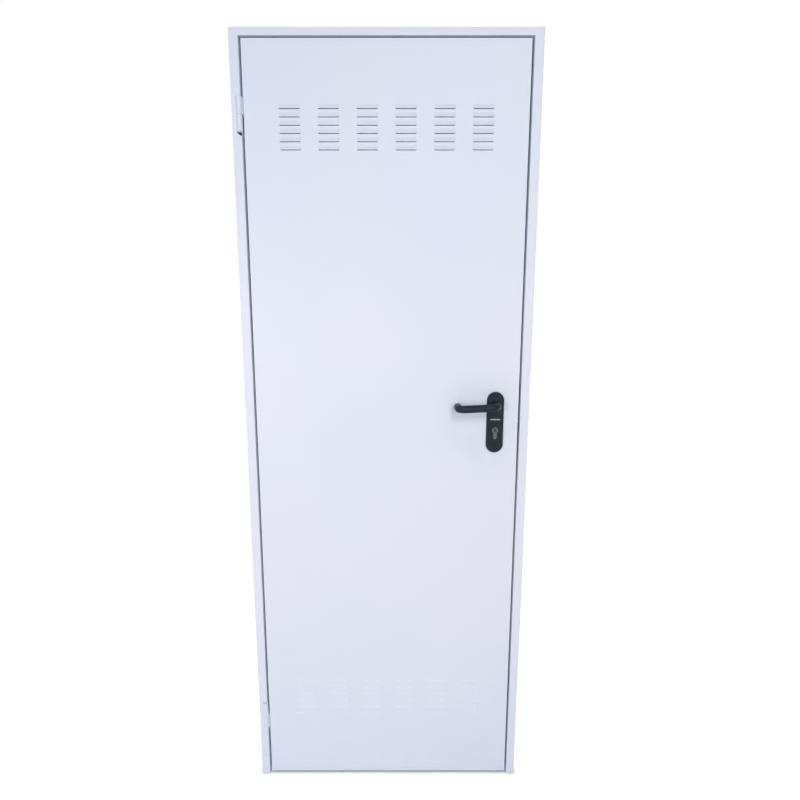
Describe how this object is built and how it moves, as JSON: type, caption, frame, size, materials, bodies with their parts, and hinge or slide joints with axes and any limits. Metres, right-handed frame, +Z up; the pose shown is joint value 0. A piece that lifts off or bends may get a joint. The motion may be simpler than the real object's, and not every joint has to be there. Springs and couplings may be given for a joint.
{
  "type": "louvred steel door in its frame",
  "caption": "Flush sheet-steel door leaf with an upper and a lower field of pressed louvres, lever handle and profile cylinder, hung on barrel hinges in a rebated steel frame.",
  "frame": {"origin": "on the hinge jamb's wall face, at floor level, half way through the frame's depth", "axes": "+X from the hinge jamb to the lock jamb, +Y from the outer face into the wall, +Z up"},
  "size_m": [0.756, 0.168, 2.045],
  "materials": {
    "white_paint": "satin powder coat",
    "black_nylon": "satin moulded nylon",
    "bare_steel": "zinc plated",
    "nickel_cylinder": "nickel plated",
    "core_board": "matt paper board",
    "pale_strip": "satin"
  },
  "bodies": {
    "frame": {"hinge_jamb": "white_paint", "lock_jamb": "white_paint", "frame_head": "white_paint", "hinge_stop": "white_paint", "lock_stop": "white_paint", "head_stop": "white_paint", "upper_hinge_frame_half": "white_paint", "upper_hinge_pin": "white_paint", "lower_hinge_frame_half": "white_paint", "lower_hinge_pin": "white_paint"},
    "leaf": {"upper_hinge_leaf_half": "white_paint", "lower_hinge_leaf_half": "white_paint", "front_skin": "white_paint", "back_skin": "white_paint", "leaf_top_channel": "white_paint", "leaf_bottom_channel": "white_paint", "leaf_core": "core_board", "lock_case": "bare_steel", "lock_forend": "bare_steel", "latch_bolt": "bare_steel", "dead_bolt": "bare_steel", "cylinder_body": "nickel_cylinder", "outer_plate": "black_nylon", "inner_plate": "black_nylon", "outer_plate_strip": "pale_strip", "inner_plate_strip": "pale_strip"},
    "levers": {"outer_lever": "black_nylon", "inner_lever": "black_nylon", "lever_spindle": "bare_steel"},
    "key_plug": {"key_plug": "nickel_cylinder"}
  },
  "joints": [
    {"name": "leaf_swing", "type": "hinge", "parent": "frame", "child": "leaf", "pos_m": [0.0195, -0.038, 0], "axis": [0, 0, -1], "range_deg": [0, 170]},
    {"name": "lever_turn", "type": "hinge", "parent": "leaf", "child": "levers", "pos_m": [0.666, 0, 1.131], "axis": [0, -1, 0], "range_deg": [0, 40], "stiffness_Nm_per_rad": 1.5, "springref_deg": -34.38},
    {"name": "key_turn", "type": "hinge", "parent": "leaf", "child": "key_plug", "pos_m": [0.666, 0, 1.061], "axis": [0, -1, 0], "continuous": true}
  ]
}
